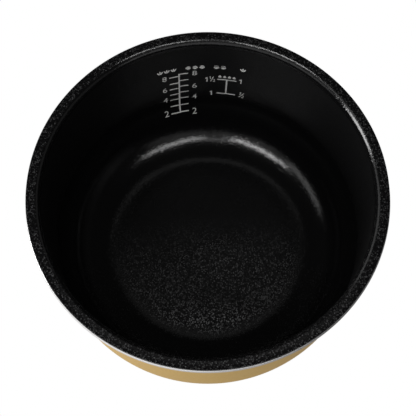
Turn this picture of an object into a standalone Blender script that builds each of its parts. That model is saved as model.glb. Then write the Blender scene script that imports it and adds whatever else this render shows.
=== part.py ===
"""Inner cooking pot of an electric rice cooker, with a nominal four litre capacity.

A drawn aluminium shell carries a black non-stick lining inside and over its flange, a champagne lacquer
coat outside, and two printed water scales on the wall at the back. Metres, +Z up. The origin is the centre
of the base's underside, and the scales are at +Y, where they face a cook who stands at -Y.
"""

import math

import bmesh
import bpy

# Driving dimensions of the cooking surface, which is the lining's own face
POT_HEIGHT = 0.124
INNER_DEPTH = 0.121
MOUTH_RADIUS = 0.1125
WALL_DRAFT = math.radians(1.6)
BASE_ROUND = 0.040
LIP_ROUND = 0.004

# Flange: its bare turned edge leans outwards, from the top radius to the full radius
FLANGE_TOP_RADIUS = 0.121
FLANGE_RADIUS = 0.1222
FLANGE_THICKNESS = 0.0042
FLANGE_CORNER = 0.0015

# Layers, counted outwards from the cooking surface
GAP = 0.0003
LINING_THICKNESS = 0.0003
SHELL_THICKNESS = 0.0014
COAT_THICKNESS = 0.0003
OUTER_BASE_ROUND = 0.0425
COAT_STOPS_AT = math.radians(18)

LINING_BACK = LINING_THICKNESS
SHELL_INSIDE = LINING_BACK + GAP
SHELL_OUTSIDE = SHELL_INSIDE + SHELL_THICKNESS
COAT_INSIDE = SHELL_OUTSIDE + GAP
COAT_OUTSIDE = COAT_INSIDE + COAT_THICKNESS

# Printed scales: levels are depths below the flange's top, spans are angles from +Y towards +X.
# The prints sit slightly askew: each angle holds at the skew depth and drifts a little with depth.
RICE_SPINE = math.radians(-11.0)
RICE_LEFT_END = math.radians(-14.85)
RICE_RIGHT_END = math.radians(-7.35)
RICE_LEFT_LEVELS = (0.0432, 0.0527, 0.0608, 0.0690, 0.0771, 0.0866, 0.0951)
RICE_RIGHT_LEVELS = (0.0404, 0.0497, 0.0582, 0.0671, 0.0763, 0.0866, 0.0947)
PORRIDGE_STEM = math.radians(7.6)
PORRIDGE_ENDS = (math.radians(3.85), math.radians(11.4))
PORRIDGE_LEVELS = (0.0507, 0.0716)
PRINT_SKEW = math.radians(1.2)
SKEW_DEPTH = 0.045
STROKE = 0.0013
STEM_WIDTH = 0.0012
INK_THICKNESS = 0.0003
INK_LIFT = 0.0005

# Facets
TURN_STEPS = 64
BASE_ROUND_STEPS = 8
LIP_STEPS = 5
CORNER_STEPS = 3
MERGE_DISTANCE = 0.00001


def clear_scene():
    for thing in list(bpy.data.objects):
        bpy.data.objects.remove(thing, do_unlink=True)


def new_collection(name):
    collection = bpy.data.collections.new(name)
    bpy.context.scene.collection.children.link(collection)
    return collection


def finish(name, colour, metallic, roughness):
    material = bpy.data.materials.new(name)
    material.use_nodes = True
    shader = material.node_tree.nodes["Principled BSDF"]
    shader.inputs["Base Color"].default_value = (*colour, 1.0)
    shader.inputs["Metallic"].default_value = metallic
    shader.inputs["Roughness"].default_value = roughness
    material.diffuse_color = (*colour, 1.0)
    return material


def wall_radius(height, offset):
    """Radius of the straight wall at a height, for a surface that lies offset behind the cooking surface."""
    drop = POT_HEIGHT - height
    return MOUTH_RADIUS - drop * math.tan(WALL_DRAFT) + offset / math.cos(WALL_DRAFT)


def edge_radius(height):
    """Radius of the flange's leaning edge at a height."""
    share = (POT_HEIGHT - height) / FLANGE_THICKNESS
    return FLANGE_TOP_RADIUS + share * (FLANGE_RADIUS - FLANGE_TOP_RADIUS)


def arc(centre, radius, start, end, steps):
    """Points (radius, height) of an arc. Angles turn from straight down towards the outside."""
    points = []
    for step in range(steps + 1):
        angle = start + (end - start) * step / steps
        across = centre[0] + radius * math.sin(angle)
        up = centre[1] - radius * math.cos(angle)
        points.append((across, up))
    return points


def base_arc(offset, floor, radius, start):
    """The round between base and wall, from an angle off straight down up to the wall."""
    centre_height = floor + radius
    centre_radius = wall_radius(centre_height, offset) - radius / math.cos(WALL_DRAFT)
    end = math.pi / 2 - WALL_DRAFT
    return arc((centre_radius, centre_height), radius, start, end, BASE_ROUND_STEPS)


def lip_arc(offset):
    """The roll from the wall over to the flange's flat top."""
    centre_height = POT_HEIGHT - LIP_ROUND
    centre_radius = wall_radius(centre_height, 0) + LIP_ROUND / math.cos(WALL_DRAFT)
    start = math.pi * 1.5 - WALL_DRAFT
    return arc((centre_radius, centre_height), LIP_ROUND - offset, start, math.pi, LIP_STEPS)


def inside_line(offset):
    """Line from the axis along the base, up the wall, over the lip and out to the flange's edge."""
    floor = POT_HEIGHT - INNER_DEPTH - offset
    top = POT_HEIGHT - offset
    points = [(0.0, floor)]
    points += base_arc(offset, floor, BASE_ROUND + offset, 0.0)
    points += lip_arc(offset)
    points.append((edge_radius(top), top))
    return points


def under_flange():
    """Underside of the flange and the small round where it meets the outside of the wall."""
    underside = POT_HEIGHT - FLANGE_THICKNESS
    centre_height = underside - FLANGE_CORNER
    centre_radius = wall_radius(centre_height, SHELL_OUTSIDE) + FLANGE_CORNER / math.cos(WALL_DRAFT)
    points = [(FLANGE_RADIUS, underside)]
    end = math.pi * 1.5 - WALL_DRAFT
    points += arc((centre_radius, centre_height), FLANGE_CORNER, math.pi, end, CORNER_STEPS)
    return points


def shell_outline():
    points = inside_line(SHELL_INSIDE)
    points += under_flange()
    points += reversed(base_arc(SHELL_OUTSIDE, 0.0, OUTER_BASE_ROUND, 0.0))
    points.append((0.0, 0.0))
    return points


def lining_outline():
    return inside_line(0.0) + list(reversed(inside_line(LINING_BACK)))


def coat_line(offset):
    """Line down the outside of the wall, from below the flange to where the bare base begins."""
    beyond_shell = offset - SHELL_OUTSIDE
    top = POT_HEIGHT - FLANGE_THICKNESS - FLANGE_CORNER - GAP
    radius = OUTER_BASE_ROUND + beyond_shell
    points = [(wall_radius(top, offset), top)]
    points += reversed(base_arc(offset, -beyond_shell, radius, COAT_STOPS_AT))
    return points


def coat_outline():
    return coat_line(COAT_OUTSIDE) + list(reversed(coat_line(COAT_INSIDE)))


def add_object(name, mesh, material, collection):
    thing = bpy.data.objects.new(name, mesh)
    collection.objects.link(thing)
    mesh.materials.append(material)
    return thing


def turned(name, outline, is_ring, material, collection):
    """Body of revolution from an outline that runs down its outer side. A ring's outline is closed."""
    mesh = bpy.data.meshes.new(name)
    count = len(outline)
    edges = [(index, index + 1) for index in range(count - 1)]
    if is_ring:
        edges.append((count - 1, 0))
    mesh.from_pydata([(across, 0.0, up) for across, up in outline], edges, [])
    thing = add_object(name, mesh, material, collection)
    screw = thing.modifiers.new("turn", "SCREW")
    screw.axis = "Z"
    screw.angle = math.tau
    screw.steps = TURN_STEPS
    screw.render_steps = TURN_STEPS
    screw.use_merge_vertices = True
    screw.merge_threshold = MERGE_DISTANCE
    screw.use_smooth_shade = True
    return thing


def inside_radius(height, offset):
    """Radius of the wall at a height, or of the round that carries it down into the base."""
    centre_height = POT_HEIGHT - INNER_DEPTH + BASE_ROUND
    if height >= centre_height:
        return wall_radius(height, offset)
    centre_radius = wall_radius(centre_height, 0.0) - BASE_ROUND / math.cos(WALL_DRAFT)
    return centre_radius + math.sqrt((BASE_ROUND + offset) ** 2 - (centre_height - height) ** 2)


def wall_point(angle, depth):
    """Point just in front of the lining's wall, at an angle from +Y and a depth below the flange."""
    height = POT_HEIGHT - depth
    radius = inside_radius(height, -INK_LIFT)
    drift = (depth - SKEW_DEPTH) * math.tan(PRINT_SKEW) / MOUTH_RADIUS
    return (radius * math.sin(angle - drift), radius * math.cos(angle - drift), height)


def printed(name, rectangles, material, collection):
    """Print that follows the wall: rectangles (left, right, shallow, deep) that share one sheet."""
    columns = sorted({side for left, right, _, _ in rectangles for side in (left, right)})
    rows = sorted({side for _, _, shallow, deep in rectangles for side in (shallow, deep)})
    sheet = bmesh.new()
    corners = {}
    for left, right in zip(columns, columns[1:]):
        for shallow, deep in zip(rows, rows[1:]):
            across = (left + right) / 2
            down = (shallow + deep) / 2
            if not any(a < across < b and c < down < d for a, b, c, d in rectangles):
                continue
            face = []
            for key in ((left, shallow), (left, deep), (right, deep), (right, shallow)):
                if key not in corners:
                    corners[key] = sheet.verts.new(wall_point(*key))
                face.append(corners[key])
            sheet.faces.new(face)
    mesh = bpy.data.meshes.new(name)
    sheet.to_mesh(mesh)
    sheet.free()
    thing = add_object(name, mesh, material, collection)
    thicken = thing.modifiers.new("ink", "SOLIDIFY")
    thicken.thickness = INK_THICKNESS
    thicken.offset = 1.0
    return thing


def level_stroke(start, end, depth):
    return (start, end, depth - STROKE / 2, depth + STROKE / 2)


def upright(angle, shallow, deep):
    half = STEM_WIDTH / 2 / MOUTH_RADIUS
    return (angle - half, angle + half, shallow - STROKE / 2, deep + STROKE / 2)


def rice_strokes():
    strokes = [upright(RICE_SPINE, RICE_RIGHT_LEVELS[0], RICE_LEFT_LEVELS[-1])]
    strokes += [level_stroke(RICE_LEFT_END, RICE_SPINE, depth) for depth in RICE_LEFT_LEVELS]
    strokes += [level_stroke(RICE_SPINE, RICE_RIGHT_END, depth) for depth in RICE_RIGHT_LEVELS]
    return strokes


def porridge_strokes():
    strokes = [upright(PORRIDGE_STEM, *PORRIDGE_LEVELS)]
    strokes += [level_stroke(*PORRIDGE_ENDS, depth) for depth in PORRIDGE_LEVELS]
    return strokes


def build():
    clear_scene()
    pot = new_collection("rice_cooker_inner_pot")
    aluminium = finish("turned_aluminium", (0.80, 0.79, 0.78), 1.0, 0.32)
    non_stick = finish("black_non_stick", (0.012, 0.012, 0.013), 0.0, 0.42)
    champagne = finish("champagne_lacquer", (0.50, 0.38, 0.20), 0.6, 0.35)
    ink = finish("pale_grey_ink", (0.45, 0.46, 0.46), 0.0, 0.6)
    turned("pot_shell", shell_outline(), False, aluminium, pot)
    turned("nonstick_lining", lining_outline(), False, non_stick, pot)
    turned("outer_coat", coat_outline(), True, champagne, pot)
    printed("rice_scale", rice_strokes(), ink, pot)
    printed("porridge_scale", porridge_strokes(), ink, pot)


build()
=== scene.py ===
"""Looks of a rice cooker's inner cooking pot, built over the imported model.

Each layer is turned on a lathe from its own outline: a black non-stick lining, a drawn aluminium pan with a
bare flange edge, and a champagne coat outside. Two water scales are printed on the wall at +Y.
Metres, +Z up.
"""

import math

import bmesh
import bpy
from mathutils import Matrix, Vector


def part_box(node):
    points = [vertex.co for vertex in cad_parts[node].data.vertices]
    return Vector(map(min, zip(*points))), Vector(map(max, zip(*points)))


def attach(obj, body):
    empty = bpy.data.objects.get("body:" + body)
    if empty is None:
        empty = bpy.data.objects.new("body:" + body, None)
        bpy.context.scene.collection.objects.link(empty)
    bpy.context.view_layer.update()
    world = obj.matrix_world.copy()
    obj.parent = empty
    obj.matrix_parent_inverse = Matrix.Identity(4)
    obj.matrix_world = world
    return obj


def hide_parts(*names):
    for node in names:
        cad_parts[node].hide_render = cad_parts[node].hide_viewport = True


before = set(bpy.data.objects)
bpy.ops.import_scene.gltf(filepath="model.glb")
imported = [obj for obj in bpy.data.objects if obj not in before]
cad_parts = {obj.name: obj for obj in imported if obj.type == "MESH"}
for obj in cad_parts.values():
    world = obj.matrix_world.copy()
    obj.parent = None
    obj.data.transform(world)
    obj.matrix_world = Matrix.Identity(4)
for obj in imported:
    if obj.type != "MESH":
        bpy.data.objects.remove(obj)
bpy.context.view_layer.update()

BODY = "root"

# Driving dimensions of the pot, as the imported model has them
POT_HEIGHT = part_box("nonstick_lining")[1].z
FLANGE_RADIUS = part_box("pot_shell")[1].x
INNER_DEPTH = 0.121
MOUTH_RADIUS = 0.1125
WALL_DRAFT = math.radians(1.6)
BASE_ROUND = 0.040
FLANGE_THICKNESS = 0.0042
FLANGE_CORNER = 0.0015
OUTER_BASE_ROUND = 0.0425
COAT_STOPS_AT = math.radians(18)

# The lip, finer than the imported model's one plain round: radii of its bend, flare and turn, and how far the
# flare leans from upright. The flange's top reaches a little further out too.
LIP_BEND = 0.0020
LIP_FLARE = 0.0075
LIP_TURN = 0.0006
FLARE_STARTS_AT = math.radians(25)
FLARE_STOPS_AT = math.radians(57)
FLANGE_TOP_RADIUS = 0.1213

# The wall is straight down to this depth below the flange's top, and for this length along its own slope
STRAIGHT_DEPTH = INNER_DEPTH - BASE_ROUND + BASE_ROUND * math.sin(WALL_DRAFT)
STRAIGHT_RUN = STRAIGHT_DEPTH / math.cos(WALL_DRAFT)

# Layers, counted outwards from the cooking surface
LINING_THICKNESS = 0.00045
PAN_INSIDE = 0.0005
PAN_OUTSIDE = 0.0020
COAT_INSIDE = 0.00205
COAT_OUTSIDE = 0.0026

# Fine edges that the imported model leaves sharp. The lining wraps a little way down the flange's edge.
LINING_EDGE_ROUND = 0.0005
PAN_EDGE_ROUND = 0.0003
OVERSPRAY = 0.0010
STEP_GAP = 0.00005

# Shallow recess at the centre of the underside
BASE_RECESS_RADIUS = 0.0045
BASE_RECESS_DEPTH = 0.0003

# Water scales: depths below the flange's top, and angles from +Y towards +X at the skew depth
RICE_SPINE = math.radians(-11.0)
RICE_ENDS = (math.radians(-14.85), math.radians(-7.35))
RICE_LEFT_LEVELS = (0.0432, 0.0527, 0.0608, 0.0690, 0.0771, 0.0866, 0.0951)
RICE_RIGHT_LEVELS = (0.0404, 0.0497, 0.0582, 0.0671, 0.0763, 0.0866, 0.0947)
PORRIDGE_STEM = math.radians(7.6)
PORRIDGE_ENDS = (math.radians(3.85), math.radians(11.4))
PORRIDGE_LEVELS = (0.0507, 0.0716)
PRINT_SKEW = math.radians(1.2)
SKEW_DEPTH = 0.045
STROKE = 0.0013
STEM_WIDTH = 0.0012
STROKE_GAP = 0.00004
INK_LIFT = 0.00001
INK_THICKNESS = 0.00006

# The sizes that a print needs to follow the wall, under the names of the printing trees' inputs
WALL_SIZES = {"Pot Height": POT_HEIGHT, "Mouth Radius": MOUTH_RADIUS, "Wall Draft": WALL_DRAFT,
              "Straight Run": STRAIGHT_RUN, "Base Round": BASE_ROUND, "Skew": PRINT_SKEW,
              "Skew Depth": SKEW_DEPTH, "Ink Lift": INK_LIFT, "Ink Thickness": INK_THICKNESS}

# Numerals: the printer set them a little above or below their levels
CUPS = (8, 6, 4, 2)
LEFT_CUPS_AT = (0.0433, 0.0598, 0.0751, 0.0939)
RIGHT_CUPS_AT = (0.0412, 0.0598, 0.0764, 0.0954)
LEFT_CUPS_ANGLE = math.radians(-16.75)
RIGHT_CUPS_ANGLE = math.radians(-4.95)
NUMERAL_HEIGHT = 0.0064
NUMERAL_WIDTH = 0.0035
NUMERAL_CURVE_STEPS = 4
ONE_WIDTH = 0.0019

# The fraction 1/2: its size, and its parts in shares of that size
HALF_HEIGHT = 0.0076
HALF_WIDTH = 0.0046
HALF_DIGIT_HEIGHT = 0.52
HALF_ONE_WIDTH = 0.26
HALF_TWO_WIDTH = 0.40
HALF_SLASH_WIDTH = 0.60
HALF_ONE_AT = (-0.36, 0.24)
HALF_TWO_AT = (0.33, -0.24)

# Porridge numerals: the angle and the depth of each
UPPER_LEFT_ONE = (math.radians(-0.35), 0.0514)
UPPER_LEFT_HALF = (math.radians(1.85), 0.0507)
LOWER_LEFT_ONE = (math.radians(1.60), 0.0716)
UPPER_RIGHT_ONE = (math.radians(12.95), 0.0500)
LOWER_RIGHT_HALF = (math.radians(13.95), 0.0702)
LOWER_RIGHT_LEAN = math.radians(-12)

# Icons that stand over the scales. Each row has the angle of its middle and a number of icons.
ICON_HEIGHT = 0.0050
ICON_WIDTH = 0.0044
ICON_PITCH = math.radians(2.65)
ICONS_AT = 0.0330
GRAIN_ROW = (math.radians(-15.72), 3)
BOWL_ROW = (math.radians(-4.80), 3)
STEAM_ROW = (math.radians(4.65), 2)
SINGLE_GRAIN_ROW = (math.radians(13.45), 1)
DROP_HEIGHT = 0.0036
DROP_WIDTH = 0.0026
DROP_PITCH = math.radians(1.85)
DROPS_AT = 0.0463
DROP_ROW = (math.radians(7.62), 4)

# Finishes. A recipe holds the values that its shader group gets.
# Non-stick coat: lumps of orange peel, and a gloss that patches of wear vary. It is duller on the flat base
# and on the wall between the base round and the lip.
LINING_BLACK = (0.0040, 0.0040, 0.0042)
LINING_PEEL = {"Lump Size": 0.0012, "Fine Share": 0.45}
LINING_WEAR = {"Patch Size": 0.03, "Low": 0.115, "High": 0.14}
LINING_BUMP = 0.00004
BASE_DULLER_BY = 0.15
WALL_DULLER_BY = 0.22
WALL_DULL_FROM = 0.035
WALL_DULL_IN_FULL = 0.055
LIP_GLOSS_FROM = POT_HEIGHT - 0.008
LIP_GLOSS_IN_FULL = POT_HEIGHT - 0.005

# Mica in the non-stick coat: full on the front of the flat base, scarce on the wall. Its fade towards the
# back is painted glint.
MICA_WHITE = (0.85, 0.85, 0.86)
MICA_FLECKS = {"Fleck Size": 0.0011, "Share": 0.85}
MICA_TILT = 0.12
SPRAY_RADIUS = 0.060
SPRAY_END = 0.074
MICA_ON_WALL = 0.05
MICA_ON_FLANGE = 0.11
# Painted glint: these make the base's flecks whiter and more metallic towards the front, weaker at the back.
PAINTED_GLINT_FRONT = -0.060
PAINTED_GLINT_BACK = 0.030
PAINTED_GLINT_AT_BACK = 0.05
PAINTED_GLINT_FADE_POWER = 2.0

# Bare aluminium with turning marks
ALUMINIUM_DARK = (0.74, 0.72, 0.72)
ALUMINIUM_LIGHT = (0.88, 0.87, 0.87)
ALUMINIUM_RINGS = {"Pitch": 0.0005, "Wander": 0.6}
ALUMINIUM_WEAR = {"Patch Size": 0.015, "Low": 0.24, "High": 0.36}
ALUMINIUM_BUMP = 0.00002

# Champagne lacquer: metal flakes under a thin clear coat
CHAMPAGNE = (0.80, 0.57, 0.215)
CHAMPAGNE_FLAKE = (0.90, 0.69, 0.32)
CHAMPAGNE_SHEEN = (0.86, 0.66, 0.34)
LACQUER_FLAKES = {"Fleck Size": 0.0007, "Share": 0.3}
LACQUER_RINGS = {"Pitch": 0.0009, "Wander": 1.5}
LACQUER_WEAR = {"Patch Size": 0.02, "Low": 0.30, "High": 0.40}
LACQUER_BUMP = 0.00001
LACQUER_METAL = 0.8
CLEAR_COAT = 0.12
CLEAR_COAT_ROUGHNESS = 0.12

# Scale ink with small darker pinholes
INK_PALE = (0.86, 0.86, 0.84)
INK_PINHOLE = (0.45, 0.45, 0.44)
INK_PINHOLES = {"Fleck Size": 0.0004, "Share": 0.25}
INK_PEEL = {"Lump Size": 0.0011, "Fine Share": 0.45}
INK_BUMP = 0.00006
INK_ROUGHNESS = 0.55

# Facets and welds
TURN_STEPS = 224
WALL_SPACING = 0.004
ARC_STEP = math.radians(5)
FEWEST_ARC_STEPS = 3
STROKE_POINTS_ALONG = 9
ARTWORK_CUTS = 1
TURNED_WELD = 0.00001
INK_WELD = 0.000002
ARTWORK_WELD = 0.000001

# Studio: white floor that glows less towards +X in reflections, and a little light from all round
WHITE = (1.0, 1.0, 1.0, 1.0)
FLOOR_RADIUS = 6.0
FLOOR_SIDES = 96
GLOW_REACH = 0.30
GLOW_AT_FAR_SIDE = 0.04
LIGHT_ALL_ROUND = 0.03

# Soft boxes: bearing from -Y towards +X and elevation in degrees, size in metres, power in watts
LIGHT_DISTANCE = 1.5
SOFT_BOXES = {
    "key_left": (-40, 50, 0.75, 0.11, 4.2),
    "key_middle": (-6, 55, 0.50, 0.11, 0.36),
    "key_right": (27, 53.5, 0.70, 0.11, 2.4),
    "overhead": (180, 78.5, 0.50, 0.22, 0.070),
    "left_light": (-88, 14, 0.50, 0.80, 14.5),
    "left_glow": (-76, 38.5, 0.80, 0.24, 0.8),
    "back_left": (-122, 12, 1.20, 0.80, 2.2),
    "front_light": (-12, 12, 4.2, 0.95, 9.4),
    "front_glow": (-5, 42, 2.2, 0.30, 0.7),
    "right_light": (95, 12, 3.0, 0.80, 0.9),
}

# Camera: lens and sensor in millimetres, its place from the flange's centre, and how far it looks down
CAMERA_LENS = 86.54
CAMERA_SENSOR = 36.0
CAMERA_IN_FRONT = 0.2513
CAMERA_ABOVE = 0.6177
CAMERA_LOOKS_DOWN = math.radians(68.890)
CAMERA_YAW = math.radians(-0.041)
CAMERA_ROLL = math.radians(-0.092)


# ---------------------------------------------------------------- outlines

def wall_radius(height, offset):
    """Radius of the straight wall at a height, for a surface offset behind the cooking surface."""
    drop = POT_HEIGHT - height
    return MOUTH_RADIUS - drop * math.tan(WALL_DRAFT) + offset / math.cos(WALL_DRAFT)


def edge_radius(height):
    """Radius of the flange's leaning edge at a height."""
    share = (POT_HEIGHT - height) / FLANGE_THICKNESS
    return FLANGE_TOP_RADIUS + share * (FLANGE_RADIUS - FLANGE_TOP_RADIUS)


def arc(centre, radius, start, end):
    """Points (radius, height) of an arc. Angles turn from straight down towards the outside."""
    steps = max(FEWEST_ARC_STEPS, math.ceil(abs(end - start) / ARC_STEP))
    points = []
    for step in range(steps + 1):
        angle = start + (end - start) * step / steps
        points.append((centre[0] + radius * math.sin(angle), centre[1] - radius * math.cos(angle)))
    return points


def base_arc(offset, floor, radius, start):
    """The round between base and wall, from an angle off straight down up to the wall."""
    centre_height = floor + radius
    centre_radius = wall_radius(centre_height, offset) - radius / math.cos(WALL_DRAFT)
    return arc((centre_radius, centre_height), radius, start, math.pi / 2 - WALL_DRAFT)


def lip_arc(offset):
    """The lip from the wall to the flange's flat top: a short bend, a wide flare and a tight turn."""
    leans = (WALL_DRAFT, FLARE_STARTS_AT, FLARE_STOPS_AT, math.pi / 2)
    bends = list(zip((LIP_BEND, LIP_FLARE, LIP_TURN), leans, leans[1:]))
    foot = POT_HEIGHT - sum(radius * (math.sin(end) - math.sin(start)) for radius, start, end in bends)
    place = (wall_radius(foot, 0), foot)
    points = []
    for radius, start, end in bends:
        centre = (place[0] + radius * math.cos(start), place[1] - radius * math.sin(start))
        points += arc(centre, radius - offset, math.pi * 1.5 - start, math.pi * 1.5 - end)
        place = (centre[0] - radius * math.cos(end), centre[1] + radius * math.sin(end))
    return points


def soft_corner(before, corner, after, radius):
    """Arc that takes the sharpness off a corner between two straight stretches."""
    corner = Vector(corner)
    one = (Vector(before) - corner).normalized()
    two = (Vector(after) - corner).normalized()
    half = one.angle(two) / 2
    reach = radius / math.tan(half)
    middle = corner + (one + two).normalized() * radius / math.sin(half)
    first = (corner + one * reach - middle).normalized()
    last = (corner + two * reach - middle).normalized()
    steps = max(FEWEST_ARC_STEPS, math.ceil((math.pi - 2 * half) / ARC_STEP / 2))
    points = []
    for step in range(steps + 1):
        points.append(tuple(middle + first.slerp(last, step / steps) * radius))
    return points


def spaced(points):
    """The same line with its long stretches divided, so that shading stays even beside the rounds."""
    line = [points[0]]
    for before, after in zip(points, points[1:]):
        length = math.dist(before, after)
        parts = max(1, math.ceil(length / WALL_SPACING))
        for part in range(1, parts + 1):
            share = part / parts
            across = before[0] + (after[0] - before[0]) * share
            up = before[1] + (after[1] - before[1]) * share
            line.append((across, up))
    return line


def inside_line(offset):
    """Line from the axis along the base, up the wall and over the lip to the flange's flat top."""
    floor = POT_HEIGHT - INNER_DEPTH - offset
    points = [(0.0, floor)]
    points += base_arc(offset, floor, BASE_ROUND + offset, 0.0)
    points += lip_arc(offset)
    return points


def lining_outline():
    """The lining's face, its soft edge over the flange, and its back."""
    under = POT_HEIGHT - LINING_THICKNESS
    end = POT_HEIGHT - OVERSPRAY
    front = inside_line(0.0)
    back = inside_line(LINING_THICKNESS)
    corner = (FLANGE_TOP_RADIUS, POT_HEIGHT)
    foot = (edge_radius(end), end)
    heel = (edge_radius(end) - LINING_THICKNESS, end)
    edge = soft_corner(front[-1], corner, foot, LINING_EDGE_ROUND)
    inner = (edge_radius(under) - LINING_THICKNESS, under)
    return front + edge + [foot, heel, inner] + list(reversed(back))


def pan_outline():
    """The pan: inside, step under the lining's edge, bare edge, under the flange, outside and base."""
    top = POT_HEIGHT - PAN_INSIDE
    step = POT_HEIGHT - OVERSPRAY - STEP_GAP
    underside = POT_HEIGHT - FLANGE_THICKNESS
    points = inside_line(PAN_INSIDE)
    points.append((edge_radius(top) - PAN_INSIDE, top))
    points.append((edge_radius(step) - PAN_INSIDE, step))
    upper = (edge_radius(step) - STEP_GAP, step)
    lower = (FLANGE_RADIUS, underside)
    centre_height = underside - FLANGE_CORNER
    centre_radius = wall_radius(centre_height, PAN_OUTSIDE) + FLANGE_CORNER / math.cos(WALL_DRAFT)
    inner = (centre_radius, underside)
    points.append(upper)
    points += soft_corner(upper, lower, inner, PAN_EDGE_ROUND)
    points += arc((centre_radius, centre_height), FLANGE_CORNER, math.pi, math.pi * 1.5 - WALL_DRAFT)
    points += reversed(base_arc(PAN_OUTSIDE, 0.0, OUTER_BASE_ROUND, 0.0))
    points.append((BASE_RECESS_RADIUS, 0.0))
    points.append((BASE_RECESS_RADIUS - BASE_RECESS_DEPTH, BASE_RECESS_DEPTH))
    points.append((0.0, BASE_RECESS_DEPTH))
    return points


def coat_line(offset):
    """Line down the outside of the wall, from below the flange to where the bare base begins."""
    beyond_pan = offset - PAN_OUTSIDE
    top = POT_HEIGHT - FLANGE_THICKNESS - FLANGE_CORNER
    radius = OUTER_BASE_ROUND + beyond_pan
    points = [(wall_radius(top, offset), top)]
    points += reversed(base_arc(offset, -beyond_pan, radius, COAT_STOPS_AT))
    return points


def coat_outline():
    """A closed ring of lacquer."""
    outside = coat_line(COAT_OUTSIDE)
    inside = list(reversed(coat_line(COAT_INSIDE)))
    return outside + inside + outside[:1]


# ---------------------------------------------------------------- node helpers

def node(tree, kind, feeds=None, **settings):
    """Adds a node. Feeds name its inputs, and each holds a value or the output that drives it."""
    made = tree.nodes.new(kind)
    for name, value in settings.items():
        setattr(made, name, value)
    for name, value in (feeds or {}).items():
        if isinstance(value, bpy.types.NodeSocket):
            tree.links.new(value, made.inputs[name])
        else:
            made.inputs[name].default_value = value
    return made


def calc(tree, operation, *terms):
    """One step of arithmetic on numbers or outputs."""
    return node(tree, "ShaderNodeMath", dict(enumerate(terms)), operation=operation).outputs[0]


def product(tree, first, second):
    return calc(tree, "MULTIPLY", first, second)


def ramp(tree, value, start, end, low=0.0, high=1.0):
    """Runs evenly from low to high while the value runs from start to end, and holds beyond them."""
    feeds = {"Value": value, "From Min": start, "From Max": end, "To Min": low, "To Max": high}
    return node(tree, "ShaderNodeMapRange", feeds).outputs[0]


def distance_off_axis(tree, parts):
    """Distance from the pot's axis, from the separated parts of a place."""
    flat = node(tree, "ShaderNodeCombineXYZ", {"X": parts["X"], "Y": parts["Y"]}).outputs[0]
    return node(tree, "ShaderNodeVectorMath", {0: flat}, operation="LENGTH").outputs["Value"]


def new_group(name, kind, inputs, outputs):
    """Node group with named sockets. Returns it with its input and output nodes."""
    group = bpy.data.node_groups.new(name, kind)
    for label, socket, value in inputs:
        made = group.interface.new_socket(label, in_out="INPUT", socket_type="NodeSocket" + socket)
        if value is not None:
            made.default_value = value
    for label, socket in outputs:
        group.interface.new_socket(label, in_out="OUTPUT", socket_type="NodeSocket" + socket)
    return group, group.nodes.new("NodeGroupInput").outputs, group.nodes.new("NodeGroupOutput").inputs


# ---------------------------------------------------------------- geometry trees

def lathe_tree():
    """Turns an outline about the axis: every grid point takes the outline's point and the turn's angle.

    The grid's own faces look into the solid behind the outline, so they are flipped to point outwards.
    """
    sizes = [("Geometry", "Geometry", None), ("Turn Steps", "Int", TURN_STEPS),
             ("Weld Distance", "Float", TURNED_WELD), ("Finish", "Material", None)]
    tree, given, result = new_group("turn_on_the_lathe", "GeometryNodeTree", sizes,
                                    [("Geometry", "Geometry")])
    size = node(tree, "GeometryNodeAttributeDomainSize", {"Geometry": given["Geometry"]})
    count = size.outputs["Point Count"]
    columns = calc(tree, "ADD", given["Turn Steps"], 1)
    grid = node(tree, "GeometryNodeMeshGrid", {"Vertices X": columns, "Vertices Y": count})
    index = node(tree, "GeometryNodeInputIndex").outputs[0]
    row = calc(tree, "MODULO", index, count)
    column = calc(tree, "FLOOR", calc(tree, "DIVIDE", index, count))
    place = node(tree, "GeometryNodeInputPosition").outputs[0]
    outline = node(tree, "GeometryNodeSampleIndex", data_type="FLOAT_VECTOR", domain="POINT")
    tree.links.new(given["Geometry"], outline.inputs["Geometry"])
    tree.links.new(place, outline.inputs["Value"])
    tree.links.new(row, outline.inputs["Index"])
    turn = product(tree, calc(tree, "DIVIDE", column, given["Turn Steps"]), math.tau)
    turned = node(tree, "ShaderNodeVectorRotate", {"Vector": outline.outputs[0], "Angle": turn},
                  rotation_type="Z_AXIS")
    moved = node(tree, "GeometryNodeSetPosition",
                 {"Geometry": grid.outputs["Mesh"], "Position": turned.outputs[0]})
    welded = node(tree, "GeometryNodeMergeByDistance",
                  {"Geometry": moved.outputs[0], "Distance": given["Weld Distance"]})
    outward = node(tree, "GeometryNodeFlipFaces", {"Mesh": welded.outputs[0]})
    smooth = node(tree, "GeometryNodeSetShadeSmooth",
                  {"Geometry": outward.outputs[0], "Shade Smooth": True})
    real = node(tree, "GeometryNodeRealizeInstances", {"Geometry": smooth.outputs[0]})
    painted = node(tree, "GeometryNodeSetMaterial",
                   {"Geometry": real.outputs[0], "Material": given["Finish"]})
    tree.links.new(painted.outputs[0], result["Geometry"])
    return tree


def wall_group(name, *inputs):
    """Geometry tree that also takes the wall's sizes."""
    sizes = [("Geometry", "Geometry", None), *inputs]
    sizes += [(label, "Float", value) for label, value in WALL_SIZES.items()]
    return new_group(name, "GeometryNodeTree", sizes, [("Geometry", "Geometry")])


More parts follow.
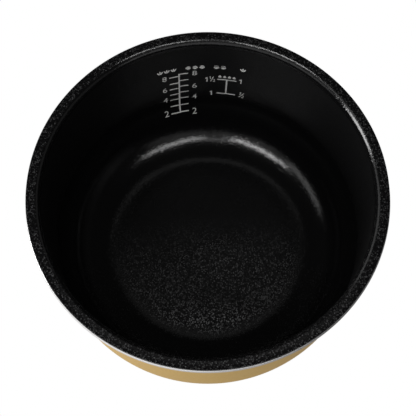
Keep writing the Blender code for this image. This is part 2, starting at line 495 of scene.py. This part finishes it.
def wall_wrap_group():
    """Lays flat artwork on the wall: X runs round the wall, -Y runs down it and into the base round."""
    tree, given, result = wall_group("lay_on_the_wall")
    place = node(tree, "GeometryNodeInputPosition").outputs[0]
    parts = node(tree, "ShaderNodeSeparateXYZ", {"Vector": place}).outputs
    down = product(tree, parts["Y"], -1.0)
    draft = given["Wall Draft"]
    sine = calc(tree, "SINE", draft)
    cosine = calc(tree, "COSINE", draft)
    straight = calc(tree, "MINIMUM", down, given["Straight Run"])
    beyond = calc(tree, "SUBTRACT", down, straight)
    lean = calc(tree, "ADD", draft, calc(tree, "DIVIDE", beyond, given["Base Round"]))
    lean_sine = calc(tree, "SINE", lean)
    lean_cosine = calc(tree, "COSINE", lean)
    in_round = product(tree, given["Base Round"], calc(tree, "SUBTRACT", lean_cosine, cosine))
    drop_round = product(tree, given["Base Round"], calc(tree, "SUBTRACT", lean_sine, sine))
    radius = calc(tree, "SUBTRACT", given["Mouth Radius"], product(tree, straight, sine))
    radius = calc(tree, "ADD", radius, in_round)
    radius = calc(tree, "SUBTRACT", radius, product(tree, given["Ink Lift"], lean_cosine))
    height = calc(tree, "SUBTRACT", given["Pot Height"], product(tree, straight, cosine))
    height = calc(tree, "SUBTRACT", height, drop_round)
    height = calc(tree, "ADD", height, product(tree, given["Ink Lift"], lean_sine))
    below_skew = calc(tree, "SUBTRACT", down, given["Skew Depth"])
    drift = product(tree, below_skew, calc(tree, "TANGENT", given["Skew"]))
    angle = calc(tree, "DIVIDE", calc(tree, "SUBTRACT", parts["X"], drift), given["Mouth Radius"])
    spot = node(tree, "ShaderNodeCombineXYZ",
                {"X": product(tree, radius, calc(tree, "SINE", angle)),
                 "Y": product(tree, radius, calc(tree, "COSINE", angle)), "Z": height})
    laid = node(tree, "GeometryNodeSetPosition",
                {"Geometry": given["Geometry"], "Position": spot.outputs[0]}).outputs[0]
    raised = node(tree, "GeometryNodeExtrudeMesh",
                  {"Mesh": laid, "Offset Scale": given["Ink Thickness"], "Individual": False})
    back = node(tree, "GeometryNodeFlipFaces", {"Mesh": laid}).outputs[0]
    joined = node(tree, "GeometryNodeJoinGeometry")
    tree.links.new(raised.outputs["Mesh"], joined.inputs[0])
    tree.links.new(back, joined.inputs[0])
    welded = node(tree, "GeometryNodeMergeByDistance",
                  {"Geometry": joined.outputs[0], "Distance": INK_WELD})
    tree.links.new(welded.outputs[0], result["Geometry"])
    return tree


def wrapped(tree, wrap, given, flat):
    """The wrap group inside another tree, fed with that tree's own wall sizes."""
    laid = node(tree, "GeometryNodeGroup", node_tree=wrap)
    tree.links.new(flat, laid.inputs["Geometry"])
    for label in WALL_SIZES:
        tree.links.new(given[label], laid.inputs[label])
    real = node(tree, "GeometryNodeRealizeInstances", {"Geometry": laid.outputs[0]})
    return node(tree, "GeometryNodeSetMaterial",
                {"Geometry": real.outputs[0], "Material": given["Finish"]})


def stroke_tree(wrap):
    """A printed stroke on every point, as long and wide as the point says, laid on the wall."""
    tree, given, result = wall_group("print_strokes", ("Points Along", "Int", STROKE_POINTS_ALONG),
                                     ("Finish", "Material", None))
    along = given["Points Along"]
    bar = node(tree, "GeometryNodeMeshGrid",
               {"Size X": 1.0, "Size Y": 1.0, "Vertices X": along, "Vertices Y": along})
    across = node(tree, "GeometryNodeInputNamedAttribute", {"Name": "across"}, data_type="FLOAT")
    down = node(tree, "GeometryNodeInputNamedAttribute", {"Name": "down"}, data_type="FLOAT")
    size = node(tree, "ShaderNodeCombineXYZ",
                {"X": across.outputs[0], "Y": down.outputs[0], "Z": 1.0}).outputs[0]
    strokes = node(tree, "GeometryNodeInstanceOnPoints",
                   {"Points": given["Geometry"], "Instance": bar.outputs["Mesh"], "Scale": size})
    real = node(tree, "GeometryNodeRealizeInstances", {"Geometry": strokes.outputs[0]})
    painted = wrapped(tree, wrap, given, real.outputs[0])
    tree.links.new(painted.outputs[0], result["Geometry"])
    return tree


def artwork_tree(wrap):
    """Flat numerals or icons, laid on the wall."""
    tree, given, result = wall_group("print_artwork", ("Cuts", "Int", ARTWORK_CUTS),
                                     ("Finish", "Material", None))
    finer = node(tree, "GeometryNodeSubdivideMesh", {"Mesh": given["Geometry"], "Level": given["Cuts"]})
    painted = wrapped(tree, wrap, given, finer.outputs[0])
    tree.links.new(painted.outputs[0], result["Geometry"])
    return tree


def grown(name, start, tree, values):
    """Runs a geometry tree on a starting mesh and returns the result as a plain object."""
    seed = bpy.data.objects.new(name + "_start", start)
    bpy.context.scene.collection.objects.link(seed)
    modifier = seed.modifiers.new("tree", "NODES")
    modifier.node_group = tree
    for item in tree.interface.items_tree:
        if item.item_type == "SOCKET" and item.in_out == "INPUT" and item.name in values:
            modifier[item.identifier] = values[item.name]
    depsgraph = bpy.context.evaluated_depsgraph_get()
    mesh = bpy.data.meshes.new_from_object(seed.evaluated_get(depsgraph))
    bpy.data.objects.remove(seed)
    mesh.name = name
    thing = bpy.data.objects.new(name, mesh)
    bpy.context.scene.collection.objects.link(thing)
    return thing


# ---------------------------------------------------------------- shader groups

def orange_peel_group():
    """Sprayed coat: soft lumps of one size under finer ones."""
    group, given, result = new_group("orange_peel", "ShaderNodeTree",
                                     [("Vector", "Vector", None), ("Lump Size", "Float", 0.001),
                                      ("Fine Share", "Float", 0.4), ("Finer By", "Float", 2.7)],
                                     [("Height", "Float")])
    scale = calc(group, "DIVIDE", 1.0, given["Lump Size"])
    fine_scale = product(group, scale, given["Finer By"])
    lumps = node(group, "ShaderNodeTexNoise", {"Vector": given["Vector"], "Scale": scale, "Detail": 1.0})
    fine = node(group, "ShaderNodeTexNoise",
                {"Vector": given["Vector"], "Scale": fine_scale, "Detail": 1.0})
    height = calc(group, "ADD", lumps.outputs[0], product(group, fine.outputs[0], given["Fine Share"]))
    group.links.new(height, result["Height"])
    return group


def fleck_group():
    """Mica, flakes or pinholes: a share of cells, each a soft round spot of its own strength and tilt."""
    group, given, result = new_group("flecks", "ShaderNodeTree",
                                     [("Vector", "Vector", None), ("Fleck Size", "Float", 0.001),
                                      ("Share", "Float", 0.1), ("Edge", "Float", 0.52),
                                      ("Heart", "Float", 0.42), ("Unevenness", "Float", 1.7)],
                                     [("Mask", "Float"), ("Glint", "Float"), ("Tilt", "Vector")])
    scale = calc(group, "DIVIDE", 1.0, given["Fleck Size"])
    cells = node(group, "ShaderNodeTexVoronoi", {"Vector": given["Vector"], "Scale": scale})
    chance = node(group, "ShaderNodeSeparateColor", {"Color": cells.outputs["Color"]}).outputs
    kept = calc(group, "LESS_THAN", chance["Red"], given["Share"])
    spot = ramp(group, cells.outputs["Distance"], given["Edge"], given["Heart"])
    mask = product(group, kept, spot)
    strength = calc(group, "POWER", chance["Green"], given["Unevenness"])
    group.links.new(mask, result["Mask"])
    group.links.new(product(group, mask, strength), result["Glint"])
    random = node(group, "ShaderNodeVectorMath", {0: cells.outputs["Color"], 1: (0.5, 0.5, 0.5)},
                  operation="SUBTRACT").outputs[0]
    tilt = node(group, "ShaderNodeVectorMath", {0: random, "Scale": mask}, operation="SCALE")
    group.links.new(tilt.outputs[0], result["Tilt"])
    return group


def turning_lines_group():
    """Fine rings that a turning tool leaves: noise that only changes across the rings."""
    group, given, result = new_group("turning_lines", "ShaderNodeTree",
                                     [("Vector", "Vector", None), ("Pitch", "Float", 0.0004),
                                      ("Wander", "Float", 0.1), ("Wander Scale", "Float", 30.0)],
                                     [("Height", "Float")])
    parts = node(group, "ShaderNodeSeparateXYZ", {"Vector": given["Vector"]}).outputs
    radius = distance_off_axis(group, parts)
    slow = node(group, "ShaderNodeTexNoise",
                {"Vector": given["Vector"], "Scale": given["Wander Scale"], "Detail": 0.0}).outputs[0]
    wander = product(group, product(group, slow, given["Wander"]), given["Pitch"])
    across = node(group, "ShaderNodeCombineXYZ",
                  {"X": calc(group, "ADD", radius, wander), "Y": parts["Z"], "Z": 0.0}).outputs[0]
    scale = calc(group, "DIVIDE", 1.0, given["Pitch"])
    rings = node(group, "ShaderNodeTexNoise", {"Vector": across, "Scale": scale, "Detail": 2.0})
    group.links.new(rings.outputs[0], result["Height"])
    return group


def smudge_group():
    """Uneven cloudy patches, as hands and washing leave."""
    group, given, result = new_group("smudges", "ShaderNodeTree",
                                     [("Vector", "Vector", None), ("Patch Size", "Float", 0.02),
                                      ("Thin", "Float", 0.3), ("Thick", "Float", 0.7),
                                      ("Low", "Float", 0.0), ("High", "Float", 1.0)],
                                     [("Value", "Float")])
    scale = calc(group, "DIVIDE", 1.0, given["Patch Size"])
    cloud = node(group, "ShaderNodeTexNoise", {"Vector": given["Vector"], "Scale": scale, "Detail": 3.0})
    value = ramp(group, cloud.outputs[0], given["Thin"], given["Thick"], given["Low"], given["High"])
    group.links.new(value, result["Value"])
    return group


# ---------------------------------------------------------------- finishes

def new_finish(name):
    """Empty material. Returns it with its tree, its shader and the object's own coordinates."""
    material = bpy.data.materials.new(name)
    material.use_nodes = True
    tree = material.node_tree
    place = tree.nodes.new("ShaderNodeTexCoord").outputs["Object"]
    return material, tree, tree.nodes["Principled BSDF"], place


def effect(tree, group, place, recipe):
    """Outputs of a shader group, placed in a material with that material's own values."""
    return node(tree, "ShaderNodeGroup", {"Vector": place, **recipe}, node_tree=group).outputs


def mixed(tree, factor, first, second):
    """Colour between two others. A colour mix has its own pair of sockets after those for numbers."""
    feeds = {"Factor": factor, 6: (*first, 1.0), 7: (*second, 1.0)}
    return node(tree, "ShaderNodeMix", feeds, data_type="RGBA").outputs[2]


def bumped(tree, height, distance):
    """Normal of a surface raised by a height."""
    return node(tree, "ShaderNodeBump", {"Height": height, "Distance": distance}).outputs[0]


def leaning(tree, normal, tilt, strength):
    """Normal that each fleck leans its own way."""
    lean = node(tree, "ShaderNodeVectorMath", {0: tilt, "Scale": strength}, operation="SCALE")
    both = node(tree, "ShaderNodeVectorMath", {0: normal, 1: lean.outputs[0]}, operation="ADD")
    return node(tree, "ShaderNodeVectorMath", {0: both.outputs[0]}, operation="NORMALIZE").outputs[0]


def mica_cover(tree, parts, on_base):
    """How much of its mica the lining shows at a place, with a painted glint that fades from the front of the
    base to its back.
    """
    on_flange = ramp(tree, parts["Z"], POT_HEIGHT - LIP_TURN, POT_HEIGHT, 0.0, MICA_ON_FLANGE)
    # Painted glint: stronger towards the front of the base, weaker at its back.
    painted_glint_towards_front = ramp(tree, parts["Y"], PAINTED_GLINT_BACK, PAINTED_GLINT_FRONT, PAINTED_GLINT_AT_BACK, 1.0)
    base_mica_and_glint = product(tree, on_base, calc(tree, "POWER", painted_glint_towards_front, PAINTED_GLINT_FADE_POWER))
    return calc(tree, "MAXIMUM", base_mica_and_glint, on_flange)


def black_nonstick(groups):
    """Sprayed black coat with orange peel and mica. The mica carries a painted glint, strongest on the front
    of the base.
    """
    material, tree, shader, place = new_finish("black_nonstick")
    peel = effect(tree, groups["peel"], place, LINING_PEEL)
    mica = effect(tree, groups["flecks"], place, MICA_FLECKS)
    wear = effect(tree, groups["smudges"], place, LINING_WEAR)
    parts = node(tree, "ShaderNodeSeparateXYZ", {"Vector": place}).outputs
    on_base = ramp(tree, distance_off_axis(tree, parts), SPRAY_RADIUS, SPRAY_END, 1.0, MICA_ON_WALL)
    mica_and_glint_cover = mica_cover(tree, parts, on_base)
    shine = product(tree, mica["Mask"], mica_and_glint_cover)
    glint = product(tree, mica["Glint"], mica_and_glint_cover)
    on_wall = ramp(tree, parts["Z"], WALL_DULL_FROM, WALL_DULL_IN_FULL)
    below_lip = ramp(tree, parts["Z"], LIP_GLOSS_FROM, LIP_GLOSS_IN_FULL, 1.0, 0.0)
    wall_dull = product(tree, product(tree, on_wall, below_lip), WALL_DULLER_BY)
    between_flecks = calc(tree, "SUBTRACT", 1.0, shine)
    base_dull = product(tree, between_flecks, product(tree, on_base, BASE_DULLER_BY))
    dull = calc(tree, "ADD", wall_dull, base_dull)
    normal = leaning(tree, bumped(tree, peel["Height"], LINING_BUMP), mica["Tilt"], MICA_TILT)
    # Base colour and metallic of the flecks carry the painted glint on the front of the base.
    tree.links.new(mixed(tree, glint, LINING_BLACK, MICA_WHITE), shader.inputs["Base Color"])
    tree.links.new(shine, shader.inputs["Metallic"])
    tree.links.new(calc(tree, "ADD", wear["Value"], dull), shader.inputs["Roughness"])
    tree.links.new(normal, shader.inputs["Normal"])
    return material


def bare_aluminium(groups):
    """Turned metal with fine rings."""
    material, tree, shader, place = new_finish("bare_aluminium")
    rings = effect(tree, groups["turning"], place, ALUMINIUM_RINGS)
    wear = effect(tree, groups["smudges"], place, ALUMINIUM_WEAR)
    colour = mixed(tree, rings["Height"], ALUMINIUM_DARK, ALUMINIUM_LIGHT)
    tree.links.new(colour, shader.inputs["Base Color"])
    tree.links.new(wear["Value"], shader.inputs["Roughness"])
    tree.links.new(bumped(tree, rings["Height"], ALUMINIUM_BUMP), shader.inputs["Normal"])
    shader.inputs["Metallic"].default_value = 1.0
    return material


def champagne_lacquer(groups):
    """Metal-flake lacquer under a thin clear coat."""
    material, tree, shader, place = new_finish("champagne_lacquer")
    flakes = effect(tree, groups["flecks"], place, LACQUER_FLAKES)
    rings = effect(tree, groups["turning"], place, LACQUER_RINGS)
    wear = effect(tree, groups["smudges"], place, LACQUER_WEAR)
    colour = mixed(tree, flakes["Glint"], CHAMPAGNE, CHAMPAGNE_FLAKE)
    tree.links.new(colour, shader.inputs["Base Color"])
    tree.links.new(wear["Value"], shader.inputs["Roughness"])
    tree.links.new(bumped(tree, rings["Height"], LACQUER_BUMP), shader.inputs["Normal"])
    shader.inputs["Metallic"].default_value = LACQUER_METAL
    shader.inputs["Specular Tint"].default_value = (*CHAMPAGNE_SHEEN, 1.0)
    shader.inputs["Coat Weight"].default_value = CLEAR_COAT
    shader.inputs["Coat Roughness"].default_value = CLEAR_COAT_ROUGHNESS
    return material


def pale_ink(groups):
    """Screen-printed ink with pinholes, over the lining's orange peel."""
    material, tree, shader, place = new_finish("scale_ink")
    pinholes = effect(tree, groups["flecks"], place, INK_PINHOLES)
    peel = effect(tree, groups["peel"], place, INK_PEEL)
    colour = mixed(tree, pinholes["Mask"], INK_PALE, INK_PINHOLE)
    tree.links.new(colour, shader.inputs["Base Color"])
    tree.links.new(bumped(tree, peel["Height"], INK_BUMP), shader.inputs["Normal"])
    shader.inputs["Roughness"].default_value = INK_ROUGHNESS
    return material


# ---------------------------------------------------------------- pieces

def outline_mesh(name, points):
    """An outline as loose points, in the order in which the lathe takes them."""
    mesh = bpy.data.meshes.new(name)
    mesh.from_pydata([(across, 0.0, up) for across, up in spaced(points)], [], [])
    return mesh


def turned(name, points, lathe, material):
    """A piece turned from an outline."""
    values = {"Turn Steps": TURN_STEPS, "Weld Distance": TURNED_WELD, "Finish": material}
    return grown(name, outline_mesh(name, points), lathe, values)


def down_wall(depth):
    """Length down the wall, from the flange's top plane to a depth below it."""
    into_round = depth - STRAIGHT_DEPTH
    if into_round <= 0:
        return depth / math.cos(WALL_DRAFT)
    lean = math.asin(math.sin(WALL_DRAFT) + into_round / BASE_ROUND)
    return STRAIGHT_RUN + BASE_ROUND * (lean - WALL_DRAFT)


def level_stroke(start, end, depth):
    """Stroke (centre across, centre down, width across, width down) at a level."""
    left = start * MOUTH_RADIUS
    right = end * MOUTH_RADIUS
    return ((left + right) / 2, down_wall(depth), right - left - STROKE_GAP, STROKE)


def upright_stroke(angle, shallow, deep):
    top = down_wall(shallow) - STROKE / 2
    bottom = down_wall(deep) + STROKE / 2
    return (angle * MOUTH_RADIUS, (top + bottom) / 2, STEM_WIDTH, bottom - top)


def stroke_points(name, strokes):
    """Mesh of one point for each stroke, which carries the stroke's width across and down the wall."""
    mesh = bpy.data.meshes.new(name)
    mesh.from_pydata([(across, -down, 0.0) for across, down, _, _ in strokes], [], [])
    for label, place in (("across", 2), ("down", 3)):
        attribute = mesh.attributes.new(label, "FLOAT", "POINT")
        attribute.data.foreach_set("value", [stroke[place] for stroke in strokes])
    return mesh


def rice_strokes():
    half = STEM_WIDTH / 2 / MOUTH_RADIUS
    strokes = [upright_stroke(RICE_SPINE, RICE_RIGHT_LEVELS[0], RICE_LEFT_LEVELS[-1])]
    strokes += [level_stroke(RICE_ENDS[0], RICE_SPINE - half, depth) for depth in RICE_LEFT_LEVELS]
    strokes += [level_stroke(RICE_SPINE + half, RICE_ENDS[1], depth) for depth in RICE_RIGHT_LEVELS]
    return strokes


def porridge_strokes():
    top, bottom = PORRIDGE_LEVELS
    inset = STROKE + STROKE_GAP
    strokes = [upright_stroke(PORRIDGE_STEM, top + inset, bottom - inset)]
    strokes += [level_stroke(*PORRIDGE_ENDS, depth) for depth in PORRIDGE_LEVELS]
    return strokes


class Artwork:
    """Flat print under construction: X runs round the wall from +Y, -Y runs down it."""

    def __init__(self, name):
        self.name = name
        self.sheet = bmesh.new()

    def glyph(self, digit, angle, depth, width, height, lean=0.0):
        """A numeral fitted to a width and a height, centred at an angle and a depth."""
        letters = bpy.data.curves.new("numeral", "FONT")
        letters.body = digit
        letters.resolution_u = NUMERAL_CURVE_STEPS
        holder = bpy.data.objects.new("numeral", letters)
        bpy.context.scene.collection.objects.link(holder)
        depsgraph = bpy.context.evaluated_depsgraph_get()
        mesh = bpy.data.meshes.new_from_object(holder.evaluated_get(depsgraph))
        bpy.data.objects.remove(holder)
        xs = [vertex.co.x for vertex in mesh.vertices]
        ys = [vertex.co.y for vertex in mesh.vertices]
        centre = Vector(((min(xs) + max(xs)) / 2, (min(ys) + max(ys)) / 2, 0.0))
        size = Matrix.Diagonal((width / (max(xs) - min(xs)), height / (max(ys) - min(ys)), 1.0, 1.0))
        place = Matrix.Translation((angle * MOUTH_RADIUS, -down_wall(depth), 0.0))
        mesh.transform(place @ Matrix.Rotation(lean, 4, "Z") @ size @ Matrix.Translation(-centre))
        self.sheet.from_mesh(mesh)
        bpy.data.meshes.remove(mesh)

    def icon(self, shapes, angle, depth, width, height, lean=0.0):
        """Flat shapes, drawn anticlockwise in a box from -0.5 to 0.5, fitted to a width and a height."""
        turn = Matrix.Rotation(lean, 2)
        centre = Vector((angle * MOUTH_RADIUS, -down_wall(depth)))
        for outline in shapes:
            spots = [centre + turn @ Vector((x * width, y * height)) for x, y in outline]
            self.sheet.faces.new([self.sheet.verts.new((spot.x, spot.y, 0.0)) for spot in spots])

    def half(self, angle, depth, lean=0.0):
        """The fraction 1/2 with a slanted stroke."""
        turn = Matrix.Rotation(lean, 2)
        small = HALF_HEIGHT * HALF_DIGIT_HEIGHT
        one = turn @ Vector((HALF_ONE_AT[0] * HALF_WIDTH, HALF_ONE_AT[1] * HALF_HEIGHT))
        two = turn @ Vector((HALF_TWO_AT[0] * HALF_WIDTH, HALF_TWO_AT[1] * HALF_HEIGHT))
        one_place = (angle + one.x / MOUTH_RADIUS, depth - one.y)
        two_place = (angle + two.x / MOUTH_RADIUS, depth - two.y)
        self.icon([one_outline()], *one_place, HALF_ONE_WIDTH * HALF_WIDTH, small, lean)
        self.icon([slash_outline()], angle, depth, HALF_WIDTH * HALF_SLASH_WIDTH, HALF_HEIGHT, lean)
        self.glyph("2", *two_place, HALF_TWO_WIDTH * HALF_WIDTH, small, lean)

    def finish(self):
        """The artwork as a mesh of triangles that all face up."""
        bmesh.ops.remove_doubles(self.sheet, verts=self.sheet.verts, dist=ARTWORK_WELD)
        bmesh.ops.triangulate(self.sheet, faces=self.sheet.faces)
        bmesh.ops.recalc_face_normals(self.sheet, faces=self.sheet.faces)
        for face in self.sheet.faces:
            if face.normal.z < 0:
                face.normal_flip()
        mesh = bpy.data.meshes.new(self.name)
        self.sheet.to_mesh(mesh)
        self.sheet.free()
        return mesh


def one_outline():
    """The numeral 1: a stem with a short flag."""
    return [(0.04, -0.5), (0.5, -0.5), (0.5, 0.5), (0.10, 0.5), (-0.5, 0.32), (-0.5, 0.18), (0.04, 0.29)]


def slash_outline():
    """The slanted stroke of a fraction."""
    return [(-0.5, -0.5), (-0.28, -0.5), (0.5, 0.5), (0.28, 0.5)]


def rice_numerals():
    art = Artwork("rice_numerals")
    for cups, left, right in zip(CUPS, LEFT_CUPS_AT, RIGHT_CUPS_AT):
        art.glyph(str(cups), LEFT_CUPS_ANGLE, left, NUMERAL_WIDTH, NUMERAL_HEIGHT)
        art.glyph(str(cups), RIGHT_CUPS_ANGLE, right, NUMERAL_WIDTH, NUMERAL_HEIGHT)
    return art.finish()


def porridge_numerals():
    """One and a half over one on the left of the gauge, and one over a half on its right."""
    art = Artwork("porridge_numerals")
    art.icon([one_outline()], *UPPER_LEFT_ONE, ONE_WIDTH, NUMERAL_HEIGHT)
    art.half(*UPPER_LEFT_HALF)
    art.icon([one_outline()], *LOWER_LEFT_ONE, ONE_WIDTH, NUMERAL_HEIGHT)
    art.icon([one_outline()], *UPPER_RIGHT_ONE, ONE_WIDTH, NUMERAL_HEIGHT)
    art.half(*LOWER_RIGHT_HALF, LOWER_RIGHT_LEAN)
    return art.finish()


def oval(across, up, width, height, lean):
    """Outline of a grain of rice."""
    sides = 14
    points = []
    for side in range(sides):
        turn = math.tau * side / sides
        x = width / 2 * math.cos(turn)
        y = height / 2 * math.sin(turn)
        points.append((across + x * math.cos(lean) - y * math.sin(lean),
                       up + x * math.sin(lean) + y * math.cos(lean)))
    return points


def half_disc(up, width, height, opens_up):
    """Outline of a bowl, or, upside down, of the heap in it."""
    sides = 12
    start = math.pi if opens_up else 0.0
    turns = [start + math.pi * side / sides for side in range(sides + 1)]
    return [(width / 2 * math.cos(turn), up + height * math.sin(turn)) for turn in turns]


def slab(up, width, height):
    """Outline of a bowl's foot."""
    return [(-width / 2, up - height / 2), (width / 2, up - height / 2),
            (width / 2, up + height / 2), (-width / 2, up + height / 2)]


def steam(across, up, height, width):
    """Outline of a wavy rising stroke."""
    steps = 8
    sway = 0.06
    left = []
    right = []
    for step in range(steps + 1):
        y = up + height * (step / steps - 0.5)
        wave = sway * math.sin(math.tau * step / steps)
        left.append((across + wave - width / 2, y))
        right.append((across + wave + width / 2, y))
    return right + list(reversed(left))


def drop_outline():
    """Outline of a water drop, point up."""
    sides = 18
    sharpness = 1.2
    fullness = 1.3
    points = []
    for side in range(sides):
        turn = math.tau * side / sides
        taper = abs(math.sin(turn / 2)) ** sharpness
        points.append((-0.5 * math.sin(turn) * taper * fullness, 0.5 * math.cos(turn)))
    return points


def grain_icon():
    lean = math.radians(28)
    return [oval(-0.29, -0.06, 0.26, 0.78, lean), oval(0.0, 0.05, 0.26, 0.88, 0.0),
            oval(0.29, -0.06, 0.26, 0.78, -lean)]


def bowl_icon():
    return [half_disc(-0.02, 0.96, 0.38, True), half_disc(0.06, 0.78, 0.34, False), slab(-0.45, 0.40, 0.08)]


def steaming_bowl_icon():
    shapes = [half_disc(-0.10, 0.96, 0.32, True), slab(-0.46, 0.40, 0.07)]
    shapes += [steam(across, 0.20, 0.42, 0.10) for across in (-0.24, 0.0, 0.24)]
    return shapes


def icon_row(art, shapes, row, pitch, depth, width, height):
    """The same icon repeated round the wall, evenly about the row's middle."""
    middle, count = row
    for place in range(count):
        angle = middle + (place - (count - 1) / 2) * pitch
        art.icon(shapes, angle, depth, width, height)


def cooking_icons():
    """Rows of grains, bowls and steaming bowls over the scales, and of drops over the gauge."""
    art = Artwork("cooking_icons")
    for shapes, row in ((grain_icon(), GRAIN_ROW), (bowl_icon(), BOWL_ROW),
                        (steaming_bowl_icon(), STEAM_ROW), (grain_icon(), SINGLE_GRAIN_ROW)):
        icon_row(art, shapes, row, ICON_PITCH, ICONS_AT, ICON_WIDTH, ICON_HEIGHT)
    icon_row(art, [drop_outline()], DROP_ROW, DROP_PITCH, DROPS_AT, DROP_WIDTH, DROP_HEIGHT)
    return art.finish()


def place_piece(piece, slot, *nodes):
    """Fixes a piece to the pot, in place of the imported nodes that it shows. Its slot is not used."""
    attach(piece, BODY)
    if nodes:
        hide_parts(*nodes)


def build_layers(groups):
    lathe = lathe_tree()
    lining = turned("cooking_surface", lining_outline(), lathe, black_nonstick(groups))
    place_piece(lining, "black_nonstick", "nonstick_lining")
    pan = turned("aluminium_pan", pan_outline(), lathe, bare_aluminium(groups))
    place_piece(pan, "bare_aluminium", "pot_shell")
    coat = turned("champagne_coat", coat_outline(), lathe, champagne_lacquer(groups))
    place_piece(coat, "champagne_lacquer", "outer_coat")


def build_prints(groups):
    wrap = wall_wrap_group()
    strokes = stroke_tree(wrap)
    artwork = artwork_tree(wrap)
    values = {**WALL_SIZES, "Points Along": STROKE_POINTS_ALONG, "Cuts": ARTWORK_CUTS,
              "Finish": pale_ink(groups)}
    ladder = grown("rice_ladder", stroke_points("rice_ladder", rice_strokes()), strokes, values)
    place_piece(ladder, "scale_ink", "rice_scale")
    gauge = grown("porridge_gauge", stroke_points("porridge_gauge", porridge_strokes()), strokes, values)
    place_piece(gauge, "scale_ink", "porridge_scale")
    for art in (rice_numerals(), porridge_numerals(), cooking_icons()):
        place_piece(grown(art.name, art, artwork, values), "scale_ink")


def build_pot():
    groups = {"peel": orange_peel_group(), "flecks": fleck_group(),
              "turning": turning_lines_group(), "smudges": smudge_group()}
    build_layers(groups)
    build_prints(groups)


# ---------------------------------------------------------------- studio

def aim(thing, target):
    thing.rotation_euler = (Vector(target) - thing.location).to_track_quat("-Z", "Y").to_euler()


def soft_box(name, bearing, elevation, width, height, power):
    """Area light that faces the pot."""
    light = bpy.data.lights.new(name, "AREA")
    light.shape = "RECTANGLE"
    light.size = width
    light.size_y = height
    light.energy = power
    holder = bpy.data.objects.new(name, light)
    bpy.context.scene.collection.objects.link(holder)
    turn = math.radians(bearing)
    rise = math.radians(elevation)
    flat = LIGHT_DISTANCE * math.cos(rise)
    holder.location = (flat * math.sin(turn), -flat * math.cos(turn), LIGHT_DISTANCE * math.sin(rise))
    aim(holder, (0.0, 0.0, POT_HEIGHT / 2))


def floor_finish():
    """Plain white to the camera. In reflections it fades towards +X, and from below it is clear."""
    material = bpy.data.materials.new("studio_white")
    material.use_nodes = True
    tree = material.node_tree
    tree.nodes.remove(tree.nodes["Principled BSDF"])
    place = node(tree, "ShaderNodeTexCoord").outputs["Object"]
    across = node(tree, "ShaderNodeSeparateXYZ", {"Vector": place}).outputs["X"]
    fading = ramp(tree, across, -GLOW_REACH, GLOW_REACH, 1.0, GLOW_AT_FAR_SIDE)
    glow = node(tree, "ShaderNodeEmission", {"Color": WHITE, "Strength": fading}).outputs[0]
    plain = node(tree, "ShaderNodeEmission", {"Color": WHITE, "Strength": 1.0}).outputs[0]
    clear = node(tree, "ShaderNodeBsdfTransparent").outputs[0]
    seen = node(tree, "ShaderNodeLightPath").outputs["Is Camera Ray"]
    below = node(tree, "ShaderNodeNewGeometry").outputs["Backfacing"]
    above = node(tree, "ShaderNodeMixShader", {0: seen, 1: glow, 2: plain}).outputs[0]
    one_sided = node(tree, "ShaderNodeMixShader", {0: below, 1: above, 2: clear})
    tree.links.new(one_sided.outputs[0], tree.nodes["Material Output"].inputs["Surface"])
    return material


def build_floor():
    bpy.ops.mesh.primitive_circle_add(vertices=FLOOR_SIDES, radius=FLOOR_RADIUS, fill_type="NGON")
    floor = bpy.context.object
    floor.name = "studio_floor"
    floor.data.materials.append(floor_finish())


def build_world():
    """White to the camera, and nearly dark to everything else."""
    world = bpy.data.worlds.new("studio")
    bpy.context.scene.world = world
    world.use_nodes = True
    tree = world.node_tree
    back = tree.nodes["Background"]
    back.inputs["Color"].default_value = WHITE
    seen = node(tree, "ShaderNodeLightPath").outputs["Is Camera Ray"]
    tree.links.new(calc(tree, "MAXIMUM", seen, LIGHT_ALL_ROUND), back.inputs["Strength"])


def build_camera():
    """Camera above and in front of the pot, where a cook's eyes are over a worktop."""
    data = bpy.data.cameras.new("cook_view")
    data.lens = CAMERA_LENS
    data.sensor_width = CAMERA_SENSOR
    camera = bpy.data.objects.new("cook_view", data)
    bpy.context.scene.collection.objects.link(camera)
    camera.location = (0.0, -CAMERA_IN_FRONT, POT_HEIGHT + CAMERA_ABOVE)
    tilt = Matrix.Rotation(math.pi / 2 - CAMERA_LOOKS_DOWN, 4, "X")
    yaw = Matrix.Rotation(CAMERA_YAW, 4, "Z")
    roll = Matrix.Rotation(CAMERA_ROLL, 4, "Z")
    camera.rotation_euler = (yaw @ tilt @ roll).to_euler()
    bpy.context.scene.camera = camera


def build_studio():
    bpy.context.scene.view_settings.view_transform = "Standard"
    build_camera()
    for name, settings in SOFT_BOXES.items():
        soft_box(name, *settings)
    build_floor()
    build_world()


build_studio()
build_pot()
